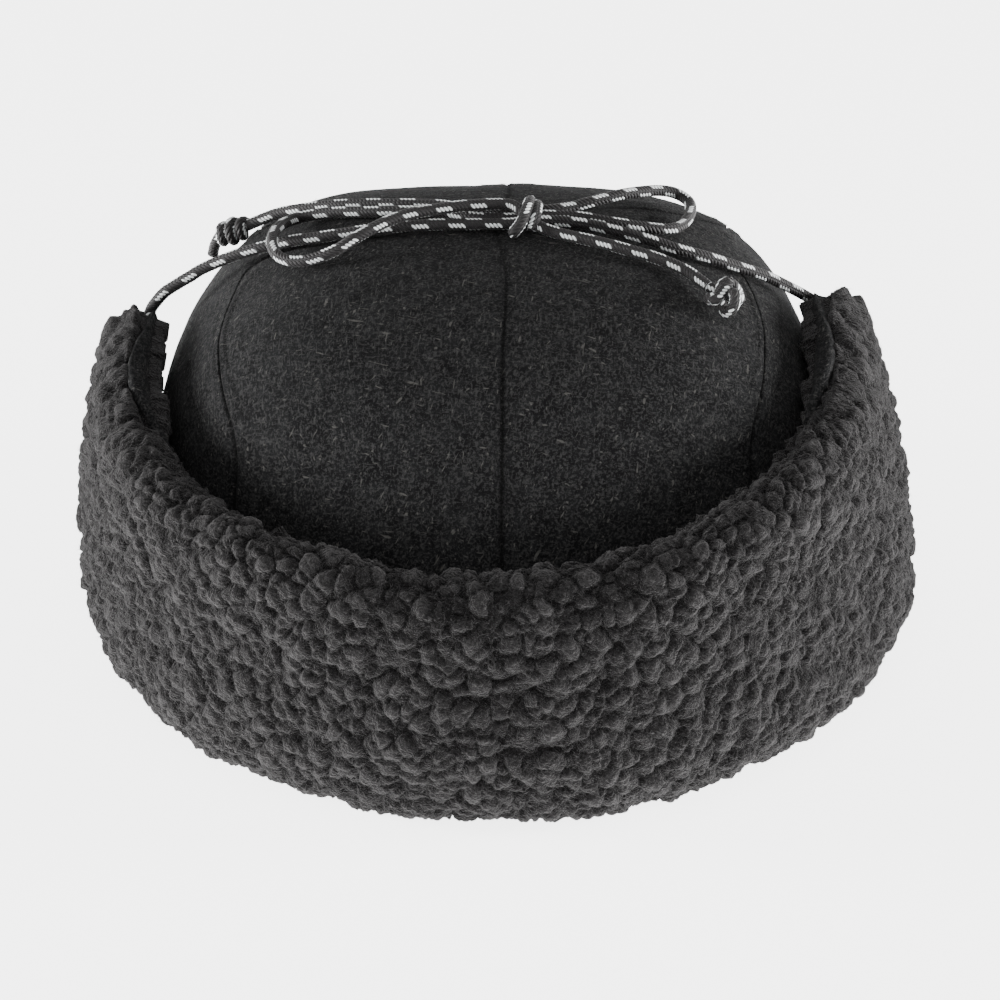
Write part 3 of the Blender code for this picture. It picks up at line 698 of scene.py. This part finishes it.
def tipShare(place):
    # 1 on the two raised tips, whose pile is longer and smoother, 0 on the rest of the band
    angle = math.atan2(place.x, -place.y)
    high = min(max((place.z - 0.74 * flapTop(angle)) / 0.018, 0), 1)
    return high * min(max((abs(angle) - 0.9) / 0.3, 0), 1)


# Angle from the back, and how far the wool side is rolled over the flap's edge there.
wrapRows = [(0, 0.0), (54, 0.0), (64, 0.35), (72, 0.82), (79, 0.95), (84, 0.85), (89, 0.62), (96, 0.45), (126, 0.1)]


def tipWrap(angle):
    return alongTable(wrapRows, math.degrees(abs(angle)))


def addPile(finish):
    look = {"stations": 900, "seen": 178, "hidden": 5, "curl": 0.0049, "curlDepth": 0.0023, "group": 0.0125,
            "groupDepth": 0.0011, "small": 0.0021, "smallDepth": 0.0007, "lump": 0.016, "lumpDepth": 0.0014,
            "tipCurl": 0.0085, "inset": 0.0017, "warp": 0.0013, "warpSize": 0.0055, "crimp": 0.0006,
            "crimpSize": 0.002, "tuck": 0.0022, "tuckReach": 0.007, "floor": 0.0002, "fill": 0.7}

    def section(angle):
        points = pileSection(angle)
        return evenPoints(points[:-1], look["seen"]) + evenPoints(points[-2:] + points[:1], look["hidden"])[1:]

    shape = bandRound(section, look["stations"], flap["span"])
    tones = shape.verts.layers.float.new("shadeTone")
    shape.normal_update()
    shape.verts.index_update()
    across = [vertex.co.x - topShift(vertex.co.z).x for vertex in shape.verts]
    moved = []
    for vertex in shape.verts:
        place = vertex.co - middle
        warped = (place + look["warp"] * noise.noise_vector(place / look["warpSize"])
                  + look["crimp"] * noise.noise_vector(place / look["crimpSize"]))
        tip = tipShare(place)
        curl = curlShape(warped, look["curl"])
        if tip > 0:
            curl = curl * (1 - 0.8 * tip) + curlShape(warped + Vector((3, 1, 2)), look["tipCurl"]) * 0.8 * tip
        small = curlShape(warped * 1.07 + Vector((1, 2, 0)), look["small"])
        near, second = noise.voronoi((warped + Vector((2, 0, 1))) / look["group"])[0][:2]
        group = min((second - near) / 0.22, 1)
        relief = look["curlDepth"] * curl * (1 + 0.15 * tip)
        relief += look["smallDepth"] * small * (1 - 0.6 * tip) - look["inset"]
        relief += look["lumpDepth"] * noise.noise(place / look["lump"]) - look["groupDepth"] * (1 - group)
        angle = math.atan2(place.x, -place.y)
        inner = flapPoint(angle, 0, place.z) - middle
        under = math.hypot(place.x, place.y) - math.hypot(inner.x, inner.y)
        if under < look["tuckReach"] and place.z > cap["hem"]:  # tucked in under the wool face at the tips
            inward = min((look["tuckReach"] - under) / 0.002, 1)
            relief -= look["tuck"] * min(max((abs(angle) - 1) / 0.2, 0), 1) * inward
        # painted shade: curl height, lowered between curl groups, darkens the creases and lightens the tops
        vertex[tones] = (0.75 * curl + 0.25 * small) * (0.72 + 0.28 * group)
        moved.append((vertex, vertex.co + vertex.normal * relief))
    for vertex, place in moved:
        vertex.co = place
        vertex.co.z = max(place.z, look["floor"])
    halves = []
    for name, side in (("flapPileLeft", -1), ("flapPileRight", 1)):
        half = shape.copy()
        half.verts.index_update()
        beyond = [face for face in half.faces if sum(across[v.index] for v in face.verts) * side < 0]
        bmesh.ops.delete(half, geom=beyond, context="FACES")
        cut = [edge for edge in half.edges if edge.is_boundary]
        bmesh.ops.holes_fill(half, edges=cut, sides=0)
        for edge in cut:
            edge.smooth = False
        halves.append(finishPiece(name, half, finish, ("flap_pile",), recalc=False))
    shape.free()
    return halves


def addFacing(finish):
    look = {"stations": 600, "up": 24, "over": 12, "sweep": 88, "leastSweep": 14, "proud": 0.0007, "deep": 0.0016,
            "wave": 0.0005, "waveSize": 0.013}

    def section(angle):
        low, top = cap["hem"], flapTop(angle)
        thick = flap["facing"] + flap["pile"]
        rounding = min(flap["topRound"], 0.45 * (top - low))
        crest = top - rounding
        sweep = look["leastSweep"] + (look["sweep"] - look["leastSweep"]) * tipWrap(angle)
        outside, inside = [], []
        for step in range(look["over"] + 1):
            turn = math.radians(180 - sweep * step / look["over"])
            for swell, side in ((look["proud"], outside), (-look["deep"], inside)):
                side.append((thick / 2 + (thick / 2 + swell) * math.cos(turn),
                             crest + (rounding + swell) * math.sin(turn)))
        inner = evenPoints([(0, low), (-look["proud"] * 0.4, low + 0.3 * (crest - low)), outside[0]], look["up"])
        outer = evenPoints([inside[0], (flap["facing"], min(crest - 0.003, low + 0.8 * (crest - low))),
                            (flap["facing"], low)], look["up"])
        tip = [((outside[-1][0] + inside[-1][0]) / 2 + 0.0005, (outside[-1][1] + inside[-1][1]) / 2)]
        return inner + outside[1:] + tip + inside[::-1][:-1] + outer + [(0, low)]

    shape = bandRound(section, look["stations"], flap["span"] - 1)
    shape.normal_update()
    for vertex in shape.verts:
        vertex.co += vertex.normal * look["wave"] * noise.noise((vertex.co - middle) / look["waveSize"])
    finishPiece("flapFacing", shape, finish, ("flap_facing",), recalc=False)


# Peak.

brim = {"halfWidth": 0.076, "halfAngle": 50, "overlap": 0.0022, "thickness": 0.0035, "rise": 0.003, "drop": 0.006,
        "sweep": 80, "roundness": 0.9}


def peakPoint(across, out):
    # across runs -1..1 along the brim, out runs 0..1 from the crown to the edge
    underside = cap["hem"] - brim["thickness"]
    angle = math.pi - math.radians(brim["halfAngle"]) * across
    rim = planPoint(angle, cap["halfWidth"] - brim["overlap"], cap["reach"] - brim["overlap"], cap["hemSquareness"])
    sweep = math.radians(brim["sweep"]) * across
    corner = cap["reach"] * math.cos(math.radians(brim["halfAngle"])) ** (2 / cap["hemSquareness"])
    tip = cap["reach"] + cap["peakLength"] - corner
    lift = brim["rise"] * math.cos(sweep) - brim["drop"] * math.sin(sweep) ** 2
    edge = Vector((brim["halfWidth"] * math.sin(sweep), corner + tip * math.cos(sweep) ** brim["roundness"], lift))
    flat = rim.lerp(edge, out)
    return middle + Vector((flat.x, flat.y, underside + lift * out))


def addPeak(finish):
    look = {"across": 96, "out": 30, "edge": 0.0013, "rows": 4, "rowGap": 0.008, "firstRow": 0.005,
            "rowSteps": 60, "rowRoom": 0.006, "stitch": 0.0019, "thread": 0.00028}
    shape = bmesh.new()
    bmesh.ops.create_grid(shape, x_segments=look["across"], y_segments=look["out"], size=1)
    for vertex in shape.verts:
        vertex.co = peakPoint(vertex.co.x, (vertex.co.y + 1) / 2)
    peak = finishPiece("peakCloth", shape, finish, ("peak",))
    wall = peak.modifiers.new("wall", "SOLIDIFY")
    wall.thickness = brim["thickness"]
    wall.offset = 1 if peak.data.polygons[0].normal.z > 0 else -1
    edge = peak.modifiers.new("edge", "BEVEL")
    edge.width = look["edge"]
    edge.segments = 3
    edge.limit_method = "ANGLE"
    edge.angle_limit = math.radians(50)
    rows = []
    for row in range(look["rows"]):
        inset = look["firstRow"] + look["rowGap"] * row
        line = []
        for i in range(look["rowSteps"] + 1):
            across = -1 + i / (look["rowSteps"] / 2)
            inner, outer = peakPoint(across, 0), peakPoint(across, 1)
            wide = (outer - inner).length
            if wide > inset + look["rowRoom"]:
                line.append(peakPoint(across, 1 - inset / wide) + Vector((0, 0, brim["thickness"])))
        rows.append(smoothRoute(line, look["stitch"]))
    addStitches("peakStitches", rows, finish, look["thread"])


def addStitches(name, rows, finish, thread):
    # running rows of thread: short rounded stitches, each dipping into the cloth at both ends
    template = bmesh.new()
    bmesh.ops.create_uvsphere(template, u_segments=6, v_segments=5, radius=1)
    stitch = bpy.data.meshes.new(name + "One")
    template.to_mesh(stitch)
    template.free()
    still = [c for v in stitch.vertices for c in v.co]
    shape = bmesh.new()
    for route in rows:
        for a, b in zip(route[::2], route[1::2]):
            turn = (b - a).to_track_quat("Z", "Y").to_matrix().to_4x4()
            size = Matrix.Diagonal((thread, thread, (b - a).length * 0.66, 1))
            stitch.vertices.foreach_set("co", still)
            stitch.transform(Matrix.Translation((a + b) / 2) @ turn @ size)
            shape.from_mesh(stitch)
    bpy.data.meshes.remove(stitch)
    finishPiece(name, shape, finish, recalc=False)


# Loose fibres.

def addFibres(name, host, finish, look):
    # short bent hairs standing off the cloth they grow from
    template = bmesh.new()
    bmesh.ops.create_cone(template, cap_ends=True, segments=3, radius1=1, radius2=0, depth=1)
    upright = [e for e in template.edges if abs(e.verts[0].co.z - e.verts[1].co.z) > 0.5]
    bmesh.ops.subdivide_edges(template, edges=upright, cuts=1)
    for vertex in template.verts:
        vertex.co.z += 0.5
        vertex.co.x += 0 if abs(vertex.co.z - 0.5) > 0.1 else look["bow"]
    hair = bpy.data.meshes.new(name + "Hair")
    template.to_mesh(hair)
    template.free()
    still = [c for v in hair.vertices for c in v.co]
    shape = bmesh.new()
    grown = host.data.vertices
    dice = random.Random(name)  # each run grows the same hairs
    left = look["count"]
    while left > 0:
        root = grown[dice.randrange(len(grown))]
        if root.co.z < look["above"]:
            continue
        left -= 1
        sideways = root.normal.orthogonal()
        sideways.rotate(Matrix.Rotation(dice.uniform(0, 2 * math.pi), 3, root.normal))
        ahead = (sideways + root.normal * dice.uniform(*look["lift"])).normalized()
        length = dice.uniform(*look["length"])
        thick = dice.uniform(*look["thick"])
        turn = ahead.to_track_quat("Z", "X").to_matrix().to_4x4() @ Matrix.Rotation(dice.uniform(0, 6.28), 4, "Z")
        hair.vertices.foreach_set("co", still)
        foot = Matrix.Translation(root.co - root.normal * look["sunk"])
        hair.transform(foot @ turn @ Matrix.Diagonal((thick, thick, length, 1)))
        shape.from_mesh(hair)
    bpy.data.meshes.remove(hair)
    tones = shape.verts.layers.float.new("shadeTone")
    for vertex in shape.verts:
        vertex[tones] = look["shadeTone"]
    finishPiece(name, shape, finish, recalc=False)


# Floor and light.

def addStudio():
    look = {"floor": (0.9, 0.9, 0.9), "floorGlow": 4.0, "world": 0.58, "aimHeight": 0.05}
    lamps = (("overhead", (0.0, -0.6, 1.3), 1.2, 5), ("leftSoft", (-1.3, 0.0, 0.22), 0.4, 27),
             ("rightSoft", (1.3, 0.0, 0.22), 0.4, 25))  # name, place, size, power
    shape = bmesh.new()
    bmesh.ops.create_grid(shape, x_segments=2, y_segments=2, size=4)
    mesh = bpy.data.meshes.new("floor")
    shape.to_mesh(mesh)
    shape.free()
    floor = bpy.data.objects.new("floor", mesh)
    bpy.context.scene.collection.objects.link(floor)
    paint = bpy.data.materials.new("paleFloor")
    paint.use_nodes = True
    shader = paint.node_tree.nodes["Principled BSDF"]
    shader.inputs["Base Color"].default_value = (*look["floor"], 1)
    shader.inputs["Roughness"].default_value = 0.9
    shader.inputs["Emission Color"].default_value = (1, 1, 1, 1)
    shader.inputs["Emission Strength"].default_value = look["floorGlow"]
    mesh.materials.append(paint)
    world = bpy.data.worlds.new("studio")
    world.use_nodes = True
    sky = world.node_tree.nodes["Background"]
    sky.inputs["Color"].default_value = (1, 1, 1, 1)
    sky.inputs["Strength"].default_value = look["world"]
    bpy.context.scene.world = world
    for name, place, size, power in lamps:
        lamp = bpy.data.lights.new(name, "AREA")
        lamp.size = size
        lamp.energy = power
        light = bpy.data.objects.new(name, lamp)
        light.location = place
        aim = middle + Vector((0, 0, look["aimHeight"])) - Vector(place)
        light.rotation_euler = aim.to_track_quat("-Z", "Y").to_euler()
        bpy.context.scene.collection.objects.link(light)


addCamera()
addStudio()
print("camera and studio ready")

braid = braidMaterial()
wool = woolMaterial()
fleece = fleeceMaterial()

cords = addCords(braid)
endKnots = addEndKnots(braid)
bowWrap = addBowWrap(braid)
declareCords(cords)
print("cords tied")

crown = addCrown(wool)
print("crown sewn")
pile = addPile(fleece)
addFacing(wool)
print("flap folded up")
addPeak(wool)
print("peak on")
pileFuzz = {"count": 12000, "length": (0.0011, 0.0025), "thick": (0.000035, 0.00006), "lift": (0.1, 1.0),
            "sunk": 0.0003, "bow": 5.0, "above": 0.004, "shadeTone": 0.85}
crownFuzz = {"count": 7000, "length": (0.0010, 0.0022), "thick": (0.00004, 0.00007), "lift": (-0.05, 0.35),
             "sunk": 0.0001, "bow": 4.0, "above": 0.03, "shadeTone": 0.0}
for name, half in zip(("pileFuzzLeft", "pileFuzzRight"), pile):
    addFibres(name, half, fleece, pileFuzz)
addFibres("crownFuzz", crown, wool, crownFuzz)
print("fibres raised")
